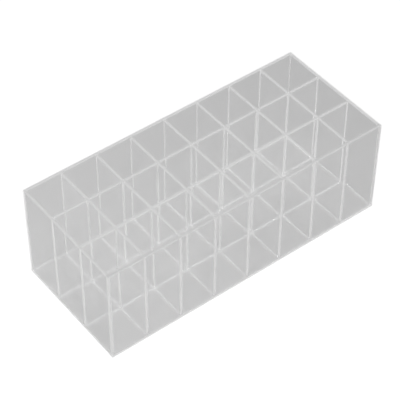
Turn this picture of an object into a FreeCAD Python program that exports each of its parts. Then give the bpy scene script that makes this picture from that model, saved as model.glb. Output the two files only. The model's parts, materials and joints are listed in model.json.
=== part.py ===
import FreeCAD, Part
import os
import Sketcher

# A clear acrylic vanity organizer for lipsticks and brushes. Four wall sheets stand on a base sheet
# and are cemented to it as an open box. A lift-out grid of slotted divider sheets stands inside:
# the long dividers have slots open at the top, and the cross dividers have slots open at the bottom
# and drop over them in half laps, so the two sets stand flush with the rim.
# X runs along the box, Y from front to back and Z up. The origin is the middle of the underside.

# Driving dimensions, in millimetres apart from the two counts.
DIMENSIONS = {
    # cells along the box, and from front to back
    "columns": 8,
    "rows": 3,
    # clear room inside one cell
    "cell_length": 25.9,
    "cell_width": 29.1,
    # height of the walls, and of the dividers, above the base
    "wall_height": 76,
    # thickness of each kind of sheet
    "base_sheet": 2,
    "wall_sheet": 2,
    "divider_sheet": 2,
    # room on each side of a sheet in a slot, at the end of a half lap and at a divider's ends
    "slot_play": 0.15,
    "lap_play": 0.3,
    "end_play": 0.3,
    # radius of the eased edges, on the walls and base and on the dividers
    "wall_ease": 0.3,
    "divider_ease": 0.3,
    # how far a slot's outline runs past the sheet that it cuts
    "cut_overrun": 1,
}

# Sizes that follow from the driving dimensions, as expressions on the spreadsheet.
COLUMN_PITCH = "(dimensions.cell_length + dimensions.divider_sheet)"
ROW_PITCH = "(dimensions.cell_width + dimensions.divider_sheet)"
INNER_LENGTH = f"(dimensions.columns * {COLUMN_PITCH} - dimensions.divider_sheet)"
INNER_WIDTH = f"(dimensions.rows * {ROW_PITCH} - dimensions.divider_sheet)"
BOX_LENGTH = f"({INNER_LENGTH} + 2 * dimensions.wall_sheet)"
BOX_WIDTH = f"({INNER_WIDTH} + 2 * dimensions.wall_sheet)"
LONG_DIVIDER_LENGTH = f"({INNER_LENGTH} - 2 * dimensions.end_play)"
CROSS_DIVIDER_LENGTH = f"({INNER_WIDTH} - 2 * dimensions.end_play)"
SLOT_WIDTH = "(dimensions.divider_sheet + 2 * dimensions.slot_play)"
SLOT_DEPTH = "(dimensions.wall_height / 2 + dimensions.lap_play)"
WALL_EASE = "min(dimensions.wall_ease; dimensions.wall_sheet / 3; dimensions.base_sheet / 3)"
DIVIDER_EASE = "min(dimensions.divider_ease; dimensions.divider_sheet / 3)"

# Two coordinates closer than this share of a sheet's diagonal are at the same level.
LEVEL_SHARE = 1e-6


def make_dimensions(doc):
    """Put the driving dimensions into a spreadsheet, one alias each."""
    sheet = doc.addObject("Spreadsheet::Sheet", "dimensions")
    for row, (alias, value) in enumerate(DIMENSIONS.items(), start=1):
        sheet.set(f"A{row}", alias)
        sheet.set(f"B{row}", str(value))
        sheet.setAlias(f"B{row}", alias)
    doc.recompute()
    return sheet


def make_body(doc, label, place):
    """Start a sub-part whose place along each named axis follows an expression."""
    body = doc.addObject("PartDesign::Body", label)
    body.Label = label
    for axis, expression in place.items():
        body.setExpression(f"Placement.Base.{axis}", expression)
    return body


def add_rectangle(body, name, plane_role, left, bottom, width, height):
    """Sketch a rectangle on one of the body's origin planes, with its sides bound to expressions."""
    plane = next(item for item in body.Origin.OriginFeatures if item.Role == plane_role)
    sketch = body.newObject("Sketcher::SketchObject", name)
    sketch.AttachmentSupport = [(plane, "")]
    sketch.MapMode = "FlatFace"
    corners = [FreeCAD.Vector(x, y, 0) for x, y in ((0, 0), (1, 0), (1, 1), (0, 1))]
    for start in range(4):
        sketch.addGeometry(Part.LineSegment(corners[start], corners[(start + 1) % 4]), False)
    for start in range(4):
        sketch.addConstraint(Sketcher.Constraint("Coincident", start, 2, (start + 1) % 4, 1))
        direction = "Horizontal" if start % 2 == 0 else "Vertical"
        sketch.addConstraint(Sketcher.Constraint(direction, start))
    sides = {
        "left": (Sketcher.Constraint("DistanceX", -1, 1, 0, 1, 0), left),
        "bottom": (Sketcher.Constraint("DistanceY", -1, 1, 0, 1, 0), bottom),
        "width": (Sketcher.Constraint("DistanceX", 0, 1, 0, 2, 1), width),
        "height": (Sketcher.Constraint("DistanceY", 1, 1, 1, 2, 1), height),
    }
    for side, (constraint, expression) in sides.items():
        index = sketch.addConstraint(constraint)
        sketch.renameConstraint(index, side)
        sketch.setExpression(f"Constraints.{side}", expression)
    return sketch


def add_pad(body, sketch, thickness, side_type):
    """Thicken a sketch into a sheet, to one side or half to each side."""
    pad = body.newObject("PartDesign::Pad", "sheet")
    pad.Profile = sketch
    pad.SideType = side_type
    pad.setExpression("Length", thickness)
    return pad


def add_slots(body, plane_role, bottom, run, pitch, count):
    """Cut a row of equal half-lap slots through a divider, evenly spaced about its middle."""
    left = f"-({count} - 1) * {pitch} / 2 - {SLOT_WIDTH} / 2"
    sketch = add_rectangle(body, "slot_outline", plane_role, left, bottom, SLOT_WIDTH, run)
    pocket = body.newObject("PartDesign::Pocket", "slot")
    pocket.Profile = sketch
    pocket.Type = "ThroughAll"
    pocket.SideType = "Symmetric"
    pattern = body.newObject("PartDesign::LinearPattern", "slots")
    pattern.Originals = [pocket]
    pattern.Direction = (sketch, ["H_Axis"])
    pattern.Mode = "Spacing"
    pattern.setExpression("Offset", pitch)
    pattern.setExpression("Occurrences", count)
    body.Tip = pattern
    return pattern


def ease_edges(doc, body, feature, radius, is_eased):
    """Round the edges of a feature for which is_eased(edge box, sheet box) holds."""
    doc.recompute()
    shape = feature.Shape
    names = []
    for number, edge in enumerate(shape.Edges, start=1):
        if is_eased(edge.BoundBox, shape.BoundBox):
            names.append(f"Edge{number}")
    fillet = body.newObject("PartDesign::Fillet", "eased_edges")
    fillet.Base = (feature, names)
    fillet.setExpression("Radius", radius)
    body.Tip = fillet


def same_level(first, second, box):
    """Tell whether two coordinates agree, to a small share of the sheet's diagonal."""
    return abs(first - second) < LEVEL_SHARE * box.DiagonalLength


def runs_along_top(edge, box):
    """An edge that lies in the sheet's top face and runs along its length."""
    at_top = same_level(edge.ZMin, box.ZMax, box)
    across = min(box.XLength, box.YLength)
    return at_top and not same_level(edge.DiagonalLength, across, box)


def make_base(doc):
    """The base sheet, with its corners and its lower edges eased."""
    body = make_body(doc, "base_panel", {})
    outline = add_rectangle(
        body, "outline", "XY_Plane", f"-{BOX_LENGTH} / 2", f"-{BOX_WIDTH} / 2", BOX_LENGTH, BOX_WIDTH
    )
    pad = add_pad(body, outline, "dimensions.base_sheet", "One side")

    def is_outer(edge, box):
        return not same_level(edge.ZMin, box.ZMax, box)

    ease_edges(doc, body, pad, WALL_EASE, is_outer)
    return body


def make_long_wall(doc, label, outward):
    """The front or back wall, as long as the box; outward is the sign of its outer face's Y."""
    middle = f"{outward} * ({BOX_WIDTH} - dimensions.wall_sheet) / 2"
    body = make_body(doc, label, {"y": middle, "z": "dimensions.base_sheet"})
    outline = add_rectangle(
        body, "outline", "XZ_Plane", f"-{BOX_LENGTH} / 2", "0", BOX_LENGTH, "dimensions.wall_height"
    )
    pad = add_pad(body, outline, "dimensions.wall_sheet", "Symmetric")

    def is_outer(edge, box):
        outer_face = box.YMax if outward > 0 else box.YMin
        upright = same_level(edge.ZLength, box.ZLength, box)
        return runs_along_top(edge, box) or (upright and same_level(edge.YMin, outer_face, box))

    ease_edges(doc, body, pad, WALL_EASE, is_outer)
    return body


def make_end_wall(doc, label, outward):
    """The left or right end wall, held between the long walls; outward is the sign of its X."""
    middle = f"{outward} * ({BOX_LENGTH} - dimensions.wall_sheet) / 2"
    body = make_body(doc, label, {"x": middle, "z": "dimensions.base_sheet"})
    outline = add_rectangle(
        body, "outline", "YZ_Plane", f"-{INNER_WIDTH} / 2", "0", INNER_WIDTH, "dimensions.wall_height"
    )
    pad = add_pad(body, outline, "dimensions.wall_sheet", "Symmetric")
    ease_edges(doc, body, pad, WALL_EASE, runs_along_top)
    return body


def make_long_divider(doc, number):
    """A divider along X, counted from the front, with slots open at the top."""
    middle = f"{number} * {ROW_PITCH} - (dimensions.divider_sheet + {INNER_WIDTH}) / 2"
    body = make_body(doc, f"long_divider_{number}", {"y": middle, "z": "dimensions.base_sheet"})
    outline = add_rectangle(
        body, "outline", "XZ_Plane", f"-{LONG_DIVIDER_LENGTH} / 2", "0", LONG_DIVIDER_LENGTH,
        "dimensions.wall_height",
    )
    add_pad(body, outline, "dimensions.divider_sheet", "Symmetric")
    slots = add_slots(
        body, "XZ_Plane", f"dimensions.wall_height - {SLOT_DEPTH}", f"{SLOT_DEPTH} + dimensions.cut_overrun",
        COLUMN_PITCH, "(dimensions.columns - 1)",
    )
    ease_edges(doc, body, slots, DIVIDER_EASE, runs_along_top)
    return body


def make_cross_divider(doc, number):
    """A divider along Y, counted from the left, with slots open at the bottom."""
    middle = f"{number} * {COLUMN_PITCH} - (dimensions.divider_sheet + {INNER_LENGTH}) / 2"
    body = make_body(doc, f"cross_divider_{number}", {"x": middle, "z": "dimensions.base_sheet"})
    outline = add_rectangle(
        body, "outline", "YZ_Plane", f"-{CROSS_DIVIDER_LENGTH} / 2", "0", CROSS_DIVIDER_LENGTH,
        "dimensions.wall_height",
    )
    add_pad(body, outline, "dimensions.divider_sheet", "Symmetric")
    slots = add_slots(
        body, "YZ_Plane", "-dimensions.cut_overrun", f"{SLOT_DEPTH} + dimensions.cut_overrun",
        ROW_PITCH, "(dimensions.rows - 1)",
    )
    ease_edges(doc, body, slots, DIVIDER_EASE, runs_along_top)
    return body


def check_document(doc, bodies):
    """Stop before anything is written if an object failed or a shape is not sound."""
    for item in doc.Objects:
        if "Invalid" in item.State or "Error" in item.State:
            raise RuntimeError(f"{item.Label} failed: {item.State}")
    for body in bodies:
        if body.Shape.isNull() or not body.Shape.isValid() or len(body.Shape.Solids) != 1:
            raise RuntimeError(f"{body.Label} is not one sound solid")


def check_slots(body, count, sheet):
    """Stop if the slots did not take away the volume that their number and size give."""
    box = body.Shape.BoundBox
    slot_depth = sheet.wall_height / 2 + sheet.lap_play
    slot_area = slot_depth * (sheet.divider_sheet + 2 * sheet.slot_play)
    plate = box.XLength * box.YLength * box.ZLength
    expected = plate - count * slot_area * sheet.divider_sheet
    eased = (2 * sheet.divider_ease) ** 2 * max(box.XLength, box.YLength)
    if abs(body.Shape.Volume - expected) > eased:
        raise RuntimeError(f"{body.Label} has slots of the wrong volume")


def main():
    doc = FreeCAD.newDocument("vanity_organizer")
    sheet = make_dimensions(doc)
    columns = int(sheet.columns)
    rows = int(sheet.rows)
    box = [
        make_base(doc),
        make_long_wall(doc, "front_wall", -1),
        make_long_wall(doc, "back_wall", 1),
        make_end_wall(doc, "left_end_wall", -1),
        make_end_wall(doc, "right_end_wall", 1),
    ]
    long_dividers = [make_long_divider(doc, number) for number in range(1, rows)]
    cross_dividers = [make_cross_divider(doc, number) for number in range(1, columns)]
    bodies = box + long_dividers + cross_dividers
    doc.recompute()
    check_document(doc, bodies)
    for divider in long_dividers:
        check_slots(divider, columns - 1, sheet)
    for divider in cross_dividers:
        check_slots(divider, rows - 1, sheet)
    os.makedirs("parts", exist_ok=True)
    for body in bodies:
        body.Shape.exportStep(f"parts/{body.Label}.step")


main()
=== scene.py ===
import json
import math
from typing import NamedTuple

import bpy
import numpy as np
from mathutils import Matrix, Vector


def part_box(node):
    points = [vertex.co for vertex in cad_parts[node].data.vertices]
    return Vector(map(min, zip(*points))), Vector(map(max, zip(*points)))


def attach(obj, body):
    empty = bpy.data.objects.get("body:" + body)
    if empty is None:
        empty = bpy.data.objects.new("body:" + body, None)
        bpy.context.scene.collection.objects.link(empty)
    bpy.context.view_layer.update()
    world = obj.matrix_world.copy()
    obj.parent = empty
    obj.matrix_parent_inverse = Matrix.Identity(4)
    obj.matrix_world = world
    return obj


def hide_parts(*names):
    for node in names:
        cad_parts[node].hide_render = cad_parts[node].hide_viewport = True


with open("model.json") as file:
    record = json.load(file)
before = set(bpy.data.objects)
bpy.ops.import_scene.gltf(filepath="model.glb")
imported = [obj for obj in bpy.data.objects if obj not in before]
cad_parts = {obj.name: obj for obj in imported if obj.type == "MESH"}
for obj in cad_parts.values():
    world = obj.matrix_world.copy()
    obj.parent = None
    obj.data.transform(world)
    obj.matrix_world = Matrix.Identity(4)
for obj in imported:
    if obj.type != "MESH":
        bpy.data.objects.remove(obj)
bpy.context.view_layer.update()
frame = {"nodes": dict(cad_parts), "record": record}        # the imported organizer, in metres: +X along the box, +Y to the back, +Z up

MM = 0.001
X_AXIS, Y_AXIS, Z_AXIS = range(3)

LONG_WALLS = ("front_wall", "back_wall")
END_WALLS = ("left_end_wall", "right_end_wall")
LONG_DIVIDERS = [name for name in frame["nodes"] if name.startswith("long_divider")]
CROSS_DIVIDERS = [name for name in frame["nodes"] if name.startswith("cross_divider")]

# Sizes of the real sheets that their boxes in the frame don't give, in metres
EDGE_EASE = 0.3 * MM
SLOT_PLAY = 0.15 * MM
LAP_PLAY = 0.3 * MM
# Air left at a cemented seam and under a divider, so that two clear faces never lie in one plane
SEAM_GAP = 0.03 * MM
# Flats in each quarter circle of an eased edge
EASE_STEPS = 4

# Refractive index of acrylic
ACRYLIC_IOR = 1.49
# The photograph's faces mirror little, so their mirrored share is raised to this power, which leaves
# total reflection whole
MIRROR_POWER = 2.2
# Share of the light that fine wear on a face scatters, and its colour
MILKINESS = 0.015
WEAR_COLOUR = "#FDFDFD"
# Share of the light that passes through a cut edge, and that a foot scatters on to what it stands on
CUT_CLARITY = 0.1
FOOT_GLOW = 0.4
# Least and greatest roughness of a cut edge, and of a sanded one
CUT_ROUGHNESS = (0.3, 0.5)
SANDED_ROUGHNESS = (0.7, 0.9)
# Handling marks on a polished face: their sizes, the noise values between which they fade in, and the
# roughness that a full mark gives
SMUDGE_SIZE = 22 * MM
SMUDGE_OCTAVES = 3.0
SMUDGE_RANGE = (0.42, 0.68)
HAIRLINE_SPACING = 1.5 * MM
HAIRLINE_LENGTH = 45 * MM
HAIRLINE_ANGLE = math.radians(32)
HAIRLINE_RANGE = (0.64, 0.74)
MARK_ROUGHNESS = 0.02
# Waves in a cast sheet
WAVE_SIZE = 30 * MM
WAVE_DEPTH = 0.003 * MM
WAVE_OCTAVES = 0.0
# Saw marks are about 0.3 mm apart on the real edge, too fine to show, so they are drawn this coarse
SAW_MARK_SPACING = 1.1 * MM
SAW_MARK_LENGTH = 6 * MM
SAW_MARK_DEPTH = 0.01 * MM
SAW_MARK_OCTAVES = 1.0
# Grime in a cut edge
GRIME_SIZE = 9 * MM
GRIME_OCTAVES = 2.0

# Camera of the photograph, fitted to the box's edge lines
PICTURE_SIDE = 400
FOCAL_PIXELS = 1565.1
SENSOR_MM = 36.0
VIEW_AZIMUTH = -37.94
VIEW_ELEVATION = 45.81
VIEW_ROLL = 0.375
VIEW_DISTANCE = 1058.5 * MM
VIEW_TARGET = (-3.4 * MM, 1.7 * MM, 38.2 * MM)

# Light levels, where 1 shows white paper as white: the floor's three add up to a little more
AMBIENT_LEVEL = 0.4575
FLOOR_LAMP_LEVEL = 0.5665
SHEET_LAMP_LEVEL = 0.4
FILL_LEVEL = 0.075
FILL_PLACE = (-0.5, 0.12, 0.3)
LAMP_RADIUS = 5 * MM
# Light whose diffuse depth, a whole number, is below this hasn't met a matt surface
MATT_DEPTH = 0.5
WHITE = "#FFFFFF"
PAPER_COLOUR = "#FCFCFC"
FLOOR_HALF_SIDE = 3.0
FLOOR_DROP = 0.1 * MM
# Bounces that carry a ray through every sheet, bounces between matt surfaces, and the softness of the
# photograph's lines in pixels
CLEAR_BOUNCES = 160
MATT_BOUNCES = 4
LINE_SOFTNESS = 2.0


def linear(hex_colour):
    """Turn an sRGB hex colour into linear red, green, blue and alpha."""
    channels = [int(hex_colour[start:start + 2], 16) / 255 for start in (1, 3, 5)]
    return [c / 12.92 if c <= 0.04045 else ((c + 0.055) / 1.055) ** 2.4 for c in channels] + [1.0]


def add_node(tree, kind, inputs=None, **settings):
    """Add a node: settings are set on the node itself, inputs are plain values or sockets to link."""
    node = tree.nodes.new(kind)
    for name, value in settings.items():
        setattr(node, name, value)
    for name, value in (inputs or {}).items():
        if isinstance(value, bpy.types.NodeSocket):
            tree.links.new(value, node.inputs[name])
        else:
            node.inputs[name].default_value = value
    return node


def new_tree(block):
    """Give a material, world or lamp an empty node tree."""
    block.use_nodes = True
    block.node_tree.nodes.clear()
    return block.node_tree


# Finishes of a sheet, which are also its material slots: its faces, then the kinds of side in its outline
# Apart from the sawn edge, the cut edges are darker or lighter copies of it, mostly painted shade and light
FACE, SAWN, DARKER_RIM, NEAR_SIDE_SHADE, INNER_LIGHTENED, SANDED_LIGHTENED = range(6)


# Outlines of the sheets, as corners in order round the sheet

class Sheet(NamedTuple):
    """A flat sheet: outline across it, its two faces, and for each side of the outline its finish.

    axes gives the frame's axes in the order along, up, through. eased has a row for the low and one
    for the high face, 1 where that side's edge is rounded.
    """
    axes: tuple
    outline: np.ndarray
    low: float
    high: float
    eased: np.ndarray
    finish: np.ndarray


def plain_outline(low, high):
    """Rectangle from its low to its high corner, counter-clockwise: sides bottom, right, top, left."""
    return np.array([low, (high[0], low[1]), high, (low[0], high[1])])


def slot_corners(centres, half_width, mouth, end):
    """Corners of square slots: for each centre the near mouth, both inner corners, the far mouth."""
    steps = np.array([(-half_width, mouth), (-half_width, end), (half_width, end), (half_width, mouth)])
    corners = np.repeat(steps[None], len(centres), axis=0)
    corners[:, :, 0] += np.sort(centres)[:, None]
    return corners.reshape(-1, 2)


def slotted_outline(low, high, centres, half_width, depth, open_at_top):
    """Rectangle with a row of slots of that depth cut in from its top or its bottom side."""
    bottom_left, bottom_right, top_right, top_left = plain_outline(low, high)
    if open_at_top:
        slots = slot_corners(centres, half_width, high[1], high[1] - depth)[::-1]
        return np.vstack([[bottom_left, bottom_right, top_right], slots, [top_left]])
    slots = slot_corners(centres, half_width, low[1], low[1] + depth)
    return np.vstack([[bottom_left], slots, [bottom_right, top_right, top_left]])


def flat_box(node, axes):
    """A node's box with its axes in the order along, up, through."""
    low, high = (np.array(corner)[list(axes)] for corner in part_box(node))
    return low, high


def centres_of(nodes, axis):
    """Middle of each node along one axis."""
    return np.array([(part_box(node)[0][axis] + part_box(node)[1][axis]) / 2 for node in nodes])


def base_sheet():
    """The base, with its lower edges eased and painted shade on its front and left sides, which face the
    lamps.
    """
    axes = (X_AXIS, Y_AXIS, Z_AXIS)
    low, high = flat_box("base_panel", axes)
    eased = np.array([np.ones(4), np.zeros(4)])
    finish = np.array([NEAR_SIDE_SHADE, SAWN, SAWN, NEAR_SIDE_SHADE])
    return Sheet(axes, plain_outline(low[:2], high[:2]), low[2], high[2], eased, finish)


def long_wall(node):
    """Front or back wall: the top and the outer upright edges are eased.

    The front one's rim is drawn a shade darker, and its left edge has painted shade, as it faces the lamps.
    """
    axes = (X_AXIS, Z_AXIS, Y_AXIS)
    low, high = flat_box(node, axes)
    low[1] += SEAM_GAP
    outer, inner = np.array([0, 1, 1, 1]), np.array([0, 0, 1, 0])
    front = low[2] < 0
    eased = np.array([outer, inner] if front else [inner, outer])
    finish = np.array([SANDED_LIGHTENED, SAWN, DARKER_RIM, NEAR_SIDE_SHADE] if front else [SANDED_LIGHTENED, SAWN, SAWN, SAWN])
    return Sheet(axes, plain_outline(low[:2], high[:2]), low[2], high[2], eased, finish)


def end_wall(node):
    """Left or right wall, between the long walls: only the top edges are eased."""
    axes = (Y_AXIS, Z_AXIS, X_AXIS)
    low, high = flat_box(node, axes)
    low[:2] += SEAM_GAP
    high[0] -= SEAM_GAP
    top = np.array([0, 0, 1, 0])
    # The front end carries painted shade, as it faces the lamps
    finish = np.array([SANDED_LIGHTENED, SAWN, SAWN, NEAR_SIDE_SHADE])
    return Sheet(axes, plain_outline(low[:2], high[:2]), low[2], high[2], np.array([top, top]), finish)


def divider(node, along, across, crossed, open_at_top, near_end):
    """Slotted divider: half laps where the other set crosses it, eased top and end edges, a sanded foot."""
    axes = (along, Z_AXIS, across)
    low, high = flat_box(node, axes)
    depth = (high[1] - low[1]) / 2 + LAP_PLAY
    low[1] += SEAM_GAP
    crossing_low, crossing_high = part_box(crossed[0])
    half_width = (crossing_high[along] - crossing_low[along]) / 2 + SLOT_PLAY
    outline = slotted_outline(low[:2], high[:2], centres_of(crossed, along), half_width, depth, open_at_top)
    next_corner = np.roll(outline, -1, axis=0)
    near, foot = ((outline == low[:2]) & (next_corner == low[:2])).T
    far, top = ((outline == high[:2]) & (next_corner == high[:2])).T
    eased = near | far | top
    # Slots and far ends are drawn lighter and the foot whitest: painted light
    finish = np.select([top, near, foot], [SAWN, near_end, SANDED_LIGHTENED], INNER_LIGHTENED)
    return Sheet(axes, outline, low[2], high[2], np.array([eased, eased]), finish)


# Meshes of the sheets

def edge_band(sheet):
    """Band round a sheet's outline, with square corners in the outline and eased edges.

    The section across a side is a quarter circle of radius EDGE_EASE, a flat and another quarter
    circle: at angle a the side stands in by EDGE_EASE * (1 - sin a) and the depth below the face is
    EDGE_EASE * (1 - cos a). That section is carried along the outline: at a corner the point moves in
    by the insets of both its sides, along their inward normals. Returns the points ring by ring, the
    lengths along the outline at each corner, and the lengths across the section at each ring.
    """
    angle = np.linspace(0, math.pi / 2, EASE_STEPS + 1)
    inset = EDGE_EASE * (1 - np.sin(angle))
    depth = EDGE_EASE * (1 - np.cos(angle))
    insets = np.concatenate([inset[:, None] * sheet.eased[0], inset[::-1, None] * sheet.eased[1]])
    depths = np.concatenate([sheet.low + depth, sheet.high - depth[::-1]])
    along = np.roll(sheet.outline, -1, axis=0) - sheet.outline
    lengths = np.linalg.norm(along, axis=1)
    inward = np.stack([-along[:, 1], along[:, 0]], axis=1) / lengths[:, None]
    moved = insets[:, :, None] * inward[None]
    flat = sheet.outline[None] + moved + np.roll(moved, 1, axis=1)
    points = np.concatenate([flat, np.broadcast_to(depths[:, None, None], flat.shape[:2] + (1,))], axis=2)
    section = np.hypot(np.diff(depths), np.diff(np.concatenate([inset, inset[::-1]])))
    return points, np.concatenate([[0], np.cumsum(lengths)]), np.concatenate([[0], np.cumsum(section)])


def sheet_faces(rings, corners):
    """Faces of a sheet: the low face, the high face, then the band's quads ring by ring."""
    ring, corner = np.meshgrid(np.arange(rings - 1), np.arange(corners), indexing="ij")
    onward = (corner + 1) % corners
    quads = np.stack([
        ring * corners + corner, ring * corners + onward,
        (ring + 1) * corners + onward, (ring + 1) * corners + corner,
    ], axis=-1).reshape(-1, 4)
    first, last = np.arange(corners), np.arange(corners) + (rings - 1) * corners
    return [first[::-1].tolist(), last.tolist()] + quads.tolist()


def sheet_uv(points, lengths, section):
    """Map of a sheet in metres: flat places on its two faces, and on the band along by across."""
    rings, corners = points.shape[:2]
    ring, corner = np.meshgrid(np.arange(rings - 1), np.arange(corners), indexing="ij")
    along = np.stack([lengths[corner], lengths[corner + 1], lengths[corner + 1], lengths[corner]], axis=-1)
    across = np.stack([section[ring], section[ring], section[ring + 1], section[ring + 1]], axis=-1)
    band = np.stack([along, across], axis=-1).reshape(-1, 4, 2)
    return [points[0, ::-1, :2], points[-1, :, :2], *band]


def sheet_piece(name, sheet, materials):
    """Make a sheet's mesh: smooth across each eased edge, sharp at the corners of the outline."""
    points, lengths, section = edge_band(sheet)
    rings, corners = points.shape[:2]
    placed = np.empty((rings * corners, 3))
    placed[:, sheet.axes] = points.reshape(-1, 3)
    faces, uv = sheet_faces(rings, corners), sheet_uv(points, lengths, section)
    if np.linalg.det(np.eye(3)[list(sheet.axes)]) < 0:
        faces, uv = [face[::-1] for face in faces], [places[::-1] for places in uv]
    mesh = bpy.data.meshes.new(name)
    mesh.from_pydata(placed.tolist(), [], faces)
    for material in materials:
        mesh.materials.append(material)
    slots = np.concatenate([[FACE, FACE], np.tile(sheet.finish, rings - 1)]).astype(np.int32)
    mesh.polygons.foreach_set("material_index", slots)
    mesh.polygons.foreach_set("use_smooth", slots != FACE)
    ends = np.empty(2 * len(mesh.edges), np.int32)
    mesh.edges.foreach_get("vertices", ends)
    across_band = np.abs(np.diff(ends.reshape(-1, 2), axis=1)).ravel() == corners
    mesh.edges.foreach_set("use_edge_sharp", across_band)
    mesh.uv_layers.new(name="sheet_metres").data.foreach_set("uv", np.concatenate(uv).ravel())
    mesh.update()
    piece = bpy.data.objects.new(name, mesh)
    bpy.context.scene.collection.objects.link(piece)
    return piece


# Materials

def polished_acrylic(name, clear, hazed):
    """Cast acrylic as it leaves its glass mould: clear and glossy, so it shows mostly what is behind it.

    It bends what it shows as acrylic does and mirrors a little. Handling leaves faint smudges that grey
    it and hairlines that blur it, fine wear scatters a little light, so many sheets in a row look milky,
    and the sheet is very slightly wavy.
    """
    material = bpy.data.materials.new(name)
    tree = new_tree(material)
    place = add_node(tree, "ShaderNodeTexCoord").outputs["Object"]
    smudge = add_node(tree, "ShaderNodeTexNoise", {
        "Vector": place, "Scale": 1 / SMUDGE_SIZE, "Detail": SMUDGE_OCTAVES,
    })
    haze = add_node(tree, "ShaderNodeMapRange", {
        "Value": smudge.outputs["Fac"], "From Min": SMUDGE_RANGE[0], "From Max": SMUDGE_RANGE[1],
    }).outputs["Result"]
    colour = add_node(tree, "ShaderNodeMix", {
        "Factor": haze, "A": linear(clear), "B": linear(hazed),
    }, data_type="RGBA")
    turned = add_node(tree, "ShaderNodeMapping", {
        "Vector": place,
        "Rotation": (HAIRLINE_ANGLE, HAIRLINE_ANGLE, HAIRLINE_ANGLE),
        "Scale": (1 / HAIRLINE_SPACING, 1 / HAIRLINE_LENGTH, 1 / HAIRLINE_SPACING),
    })
    scratch = add_node(tree, "ShaderNodeTexNoise", {"Vector": turned.outputs["Vector"], "Scale": 1.0})
    hairline = add_node(tree, "ShaderNodeMapRange", {
        "Value": scratch.outputs["Fac"], "From Min": HAIRLINE_RANGE[0], "From Max": HAIRLINE_RANGE[1],
    }).outputs["Result"]
    marks = add_node(tree, "ShaderNodeMath", {0: haze, 1: hairline}, operation="ADD")
    roughness = add_node(tree, "ShaderNodeMath", {
        0: marks.outputs[0], 1: MARK_ROUGHNESS,
    }, operation="MULTIPLY")
    wave = add_node(tree, "ShaderNodeTexNoise", {
        "Vector": place, "Scale": 1 / WAVE_SIZE, "Detail": WAVE_OCTAVES,
    })
    bump = add_node(tree, "ShaderNodeBump", {"Height": wave.outputs["Fac"], "Distance": WAVE_DEPTH})
    finish = {"Roughness": roughness.outputs[0], "Normal": bump.outputs["Normal"]}
    bent = add_node(tree, "ShaderNodeBsdfRefraction", {
        "Color": colour.outputs["Result"], "IOR": ACRYLIC_IOR, **finish,
    })
    mirrored = add_node(tree, "ShaderNodeBsdfAnisotropic", {"Color": linear(WHITE), **finish})
    fresnel = add_node(tree, "ShaderNodeFresnel", {"IOR": ACRYLIC_IOR, "Normal": bump.outputs["Normal"]})
    share = add_node(tree, "ShaderNodeMath", {0: fresnel.outputs[0], 1: MIRROR_POWER}, operation="POWER")
    glassy = add_node(tree, "ShaderNodeMixShader", {
        0: share.outputs[0], 1: bent.outputs["BSDF"], 2: mirrored.outputs["BSDF"],
    })
    scattered = add_node(tree, "ShaderNodeBsdfDiffuse", {"Color": linear(WEAR_COLOUR)})
    shader = add_node(tree, "ShaderNodeMixShader", {
        0: MILKINESS, 1: glassy.outputs["Shader"], 2: scattered.outputs["BSDF"],
    })
    add_node(tree, "ShaderNodeOutputMaterial", {"Surface": shader.outputs["Shader"]})
    return material


def cut_acrylic(name, clean, grimy, roughness=CUT_ROUGHNESS, glow=0.0):
    """Cut edge of the same sheet: tool marks across it scatter the light, so it looks pale and frosted.

    roughness gives the least and the greatest. glow is the share of the light that is scattered on
    through the edge, so the floor under it stays light.
    """
    material = bpy.data.materials.new(name)
    tree = new_tree(material)
    place = add_node(tree, "ShaderNodeTexCoord").outputs["UV"]
    across = add_node(tree, "ShaderNodeMapping", {
        "Vector": place, "Scale": (1 / SAW_MARK_SPACING, 1 / SAW_MARK_LENGTH, 1.0),
    })
    marks = add_node(tree, "ShaderNodeTexNoise", {
        "Vector": across.outputs["Vector"], "Scale": 1.0, "Detail": SAW_MARK_OCTAVES,
    })
    grime = add_node(tree, "ShaderNodeTexNoise", {
        "Vector": place, "Scale": 1 / GRIME_SIZE, "Detail": GRIME_OCTAVES,
    })
    colour = add_node(tree, "ShaderNodeMix", {
        "Factor": grime.outputs["Fac"], "A": linear(clean), "B": linear(grimy),
    }, data_type="RGBA")
    frosting = add_node(tree, "ShaderNodeMapRange", {
        "Value": marks.outputs["Fac"], "To Min": roughness[0], "To Max": roughness[1],
    })
    bump = add_node(tree, "ShaderNodeBump", {"Height": marks.outputs["Fac"], "Distance": SAW_MARK_DEPTH})
    shader = add_node(tree, "ShaderNodeBsdfPrincipled", {
        "Base Color": colour.outputs["Result"],
        "Roughness": frosting.outputs["Result"],
        "Normal": bump.outputs["Normal"],
        "IOR": ACRYLIC_IOR,
        "Transmission Weight": CUT_CLARITY,
    }).outputs["BSDF"]
    if glow:
        passed_on = add_node(tree, "ShaderNodeBsdfTranslucent", {
            "Color": colour.outputs["Result"], "Normal": bump.outputs["Normal"],
        })
        shader = add_node(tree, "ShaderNodeMixShader", {
            0: glow, 1: shader, 2: passed_on.outputs["BSDF"],
        }).outputs["Shader"]
    add_node(tree, "ShaderNodeOutputMaterial", {"Surface": shader})
    return material


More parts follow.
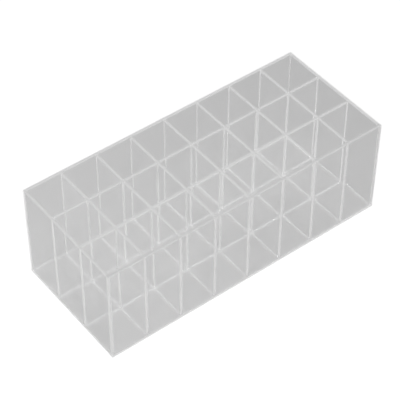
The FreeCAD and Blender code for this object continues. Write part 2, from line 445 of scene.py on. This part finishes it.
def dress_organizer():
    """Stand a finished sheet in for every node of the frame, on the node's own body."""
    sheets = {"base_panel": base_sheet()}
    sheets.update({node: long_wall(node) for node in LONG_WALLS})
    sheets.update({node: end_wall(node) for node in END_WALLS})
    for node in LONG_DIVIDERS:
        sheets[node] = divider(node, X_AXIS, Y_AXIS, CROSS_DIVIDERS, True, SAWN)
    for node in CROSS_DIVIDERS:
        # Their front ends carry painted shade, as they face the lamps
        sheets[node] = divider(node, Y_AXIS, X_AXIS, LONG_DIVIDERS, False, NEAR_SIDE_SHADE)
    faces = dict.fromkeys(sheets, polished_acrylic("cast_acrylic_polished", "#FFFFFF", "#FEFEFE"))
    # The left end sheet is tinted a shade greyer than the rest: painted shade that dims the lit floor it
    # mirrors
    faces[END_WALLS[0]] = polished_acrylic("cast_acrylic_polished_left_end_shaded", "#FCFCFC", "#FAFAFA")
    cuts = (
        cut_acrylic("cast_acrylic_sawn_edge", "#E4E4E4", "#DCDCDC"),
        # The front rim is drawn a shade darker, and the edges that face the lamps carry painted shade
        cut_acrylic("cast_acrylic_darker_rim_edge", "#DCDCDC", "#D6D6D6"),
        cut_acrylic("cast_acrylic_near_side_shade_edge", "#D4D4D4", "#CCCCCC"),
        # Slots and far ends are drawn lighter than the sawn edge: painted light
        cut_acrylic("cast_acrylic_inner_lightened_edge", "#F0F0F0", "#EAEAEA"),
        # The feet are sanded square, which leaves them the roughest, and drawn the whitest: painted light
        cut_acrylic("cast_acrylic_sanded_lightened_edge", "#F3F3F3", "#EFEFEF", SANDED_ROUGHNESS, FOOT_GLOW),
    )
    pieces = []
    for body, nodes in frame["record"]["behaviour"]["bodies"].items():
        for node in nodes:
            piece = sheet_piece(f"{node}_sheet", sheets[node], (faces[node], *cuts))
            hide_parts(node)
            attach(piece, body)
            pieces.append(piece)
    return pieces


# Stage

def view_axes():
    """Unit vectors of the photograph's camera: backwards, right and up, with its roll."""
    azimuth, elevation, roll = (math.radians(a) for a in (VIEW_AZIMUTH, VIEW_ELEVATION, VIEW_ROLL))
    back = np.array([
        math.sin(azimuth) * math.cos(elevation),
        -math.cos(azimuth) * math.cos(elevation),
        math.sin(elevation),
    ])
    right = np.array([math.cos(azimuth), math.sin(azimuth), 0.0])
    up = np.cross(back, right)
    return back, right * math.cos(roll) + up * math.sin(roll), up * math.cos(roll) - right * math.sin(roll)


def add_camera():
    """Camera where the photograph was taken from."""
    back, right, up = view_axes()
    data = bpy.data.cameras.new("photo_camera")
    data.sensor_width = SENSOR_MM
    data.lens = SENSOR_MM * FOCAL_PIXELS / PICTURE_SIDE
    camera = bpy.data.objects.new("photo_camera", data)
    matrix = np.eye(4)
    matrix[:3, :3] = np.stack([right, up, back], axis=1)
    matrix[:3, 3] = np.array(VIEW_TARGET) + back * VIEW_DISTANCE
    camera.matrix_world = matrix.T.tolist()
    bpy.context.scene.collection.objects.link(camera)
    bpy.context.scene.camera = camera


def add_lamp(name, place, level, lit, shaded, even):
    """Small lamp for some objects alone, which gives a flat floor at the box that level.

    A lamp of 4 * pi * pi watts gives a floor the level 1 from 1 metre above, and from the side that
    times its height over its distance cubed. An even lamp's strength grows with the distance instead,
    which lights the whole floor alike.
    """
    height, distance = place[2], np.linalg.norm(place)
    data = bpy.data.lights.new(name, "POINT")
    data.energy = level * 4 * math.pi ** 2 * (1.0 if even else distance ** 3 / height)
    data.shadow_soft_size = LAMP_RADIUS
    data.use_shadow = shaded
    data.cycles.use_multiple_importance_sampling = False
    lamp = bpy.data.objects.new(name, data)
    lamp.location = place
    lamp.light_linking.receiver_collection = bpy.data.collections.new(f"lit_by_{name}")
    for thing in lit:
        lamp.light_linking.receiver_collection.objects.link(thing)
    bpy.context.scene.collection.objects.link(lamp)
    if even:
        tree = new_tree(data)
        falloff = add_node(tree, "ShaderNodeLightFalloff", {"Strength": 1.0})
        reach = add_node(tree, "ShaderNodeMath", {
            0: add_node(tree, "ShaderNodeLightPath").outputs["Ray Length"], 1: height,
        }, operation="DIVIDE")
        strength = add_node(tree, "ShaderNodeMath", {
            0: falloff.outputs["Constant"], 1: reach.outputs[0],
        }, operation="MULTIPLY")
        emission = add_node(tree, "ShaderNodeEmission", {"Strength": strength.outputs[0]})
        add_node(tree, "ShaderNodeOutputLight", {"Surface": emission.outputs["Emission"]})


def add_lamps(sheets, floor):
    """Light from the lens, so that the box's shadow lies behind the box, and a fill from the left.

    The renderer doesn't follow a lamp's light through clear sheets. So one lamp lights the floor and
    is shaded by the box, which gives the grey inside it, and another lights the sheets and isn't
    shaded, so every edge behind clear sheets still catches the light.
    """
    lens = np.array(VIEW_TARGET) + view_axes()[0] * VIEW_DISTANCE
    add_lamp("floor_lamp", lens, FLOOR_LAMP_LEVEL, [floor], shaded=True, even=True)
    add_lamp("sheet_lamp", lens, SHEET_LAMP_LEVEL, sheets, shaded=False, even=True)
    add_lamp("fill_lamp", np.array(FILL_PLACE), FILL_LEVEL, [floor], shaded=False, even=False)


def add_world():
    """White surroundings, seen at strength 1 straight, in and through the acrylic.

    They light the matt surfaces at AMBIENT_LEVEL.
    """
    world = bpy.data.worlds.new("white_room")
    bpy.context.scene.world = world
    tree = new_tree(world)
    path = add_node(tree, "ShaderNodeLightPath")
    seen = path.outputs["Is Camera Ray"]
    for kind in ("Is Glossy Ray", "Is Transmission Ray"):
        either = add_node(tree, "ShaderNodeMath", {0: seen, 1: path.outputs[kind]}, operation="MAXIMUM")
        seen = either.outputs[0]
    direct = add_node(tree, "ShaderNodeMath", {
        0: path.outputs["Diffuse Depth"], 1: MATT_DEPTH,
    }, operation="LESS_THAN")
    seen = add_node(tree, "ShaderNodeMath", {0: seen, 1: direct.outputs[0]}, operation="MULTIPLY")
    strength = add_node(tree, "ShaderNodeMapRange", {
        "Value": seen.outputs[0], "To Min": AMBIENT_LEVEL, "To Max": 1.0,
    })
    background = add_node(tree, "ShaderNodeBackground", {
        "Color": linear(WHITE), "Strength": strength.outputs["Result"],
    })
    add_node(tree, "ShaderNodeOutputWorld", {"Surface": background.outputs["Background"]})


def add_floor():
    """Matt white paper, a hair below the base."""
    half, drop = FLOOR_HALF_SIDE, FLOOR_DROP
    mesh = bpy.data.meshes.new("floor")
    corners = [(-half, -half, -drop), (half, -half, -drop), (half, half, -drop), (-half, half, -drop)]
    mesh.from_pydata(corners, [], [(0, 1, 2, 3)])
    material = bpy.data.materials.new("matt_white_paper")
    tree = new_tree(material)
    shader = add_node(tree, "ShaderNodeBsdfDiffuse", {"Color": linear(PAPER_COLOUR)})
    add_node(tree, "ShaderNodeOutputMaterial", {"Surface": shader.outputs["BSDF"]})
    mesh.materials.append(material)
    floor = bpy.data.objects.new("floor", mesh)
    bpy.context.scene.collection.objects.link(floor)
    return floor


def set_render_look():
    """Plain colour management, light that is followed unblurred through every sheet, and soft lines."""
    scene = bpy.context.scene
    scene.view_settings.view_transform = "Standard"
    scene.cycles.max_bounces = CLEAR_BOUNCES
    scene.cycles.transmission_bounces = CLEAR_BOUNCES
    scene.cycles.glossy_bounces = CLEAR_BOUNCES
    scene.cycles.diffuse_bounces = MATT_BOUNCES
    scene.cycles.blur_glossy = 0.0
    scene.cycles.filter_width = LINE_SOFTNESS


sheets = dress_organizer()
floor = add_floor()
add_camera()
add_lamps(sheets, floor)
add_world()
set_render_look()
